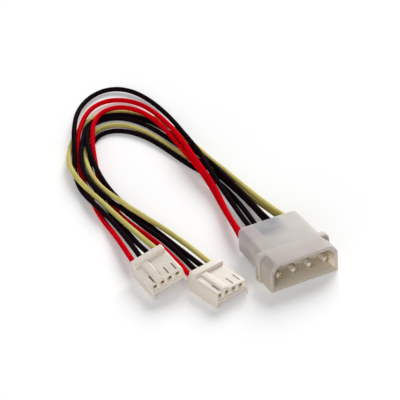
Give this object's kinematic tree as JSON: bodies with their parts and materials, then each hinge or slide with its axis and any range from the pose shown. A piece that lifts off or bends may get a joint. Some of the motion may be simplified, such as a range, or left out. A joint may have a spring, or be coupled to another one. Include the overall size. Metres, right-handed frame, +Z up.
{
  "type": "power splitter cable",
  "caption": "Power splitter cable: a shrouded pin plug feeds small drive sockets through thin red, black and yellow wires laid in one loose hairpin bend",
  "frame": {"origin": "on the table, under the middle of the plug shroud's underside", "axes": "+Z up, -Y out of the plug's mouth, +Y along the wires as they leave the plug, +X to the side with the yellow wires"},
  "size_m": [0.0538, 0.1312, 0.0092],
  "materials": {
    "clear_nylon": "satin, slightly see-through",
    "tinned_pin": "bright tin plate",
    "ivory_plastic": "satin",
    "contact_brass": "satin",
    "red_insulation": "soft sheen",
    "black_insulation": "soft sheen",
    "yellow_insulation": "soft sheen"
  },
  "bodies": {
    "root": {"plug_housing": "clear_nylon", "power_pin_1": "tinned_pin", "power_pin_2": "tinned_pin", "power_pin_3": "tinned_pin", "power_pin_4": "tinned_pin", "drive_socket_left": "ivory_plastic", "drive_socket_right": "ivory_plastic", "contact_left_1": "contact_brass", "contact_left_2": "contact_brass", "contact_left_3": "contact_brass", "contact_left_4": "contact_brass", "contact_right_1": "contact_brass", "contact_right_2": "contact_brass", "contact_right_3": "contact_brass", "contact_right_4": "contact_brass", "wire_red_left": "red_insulation", "wire_red_right": "red_insulation", "wire_black_left_outer": "black_insulation", "wire_black_left_inner": "black_insulation", "wire_black_right_outer": "black_insulation", "wire_black_right_inner": "black_insulation", "wire_yellow_right": "yellow_insulation", "wire_yellow_left": "yellow_insulation"}
  },
  "joints": []
}
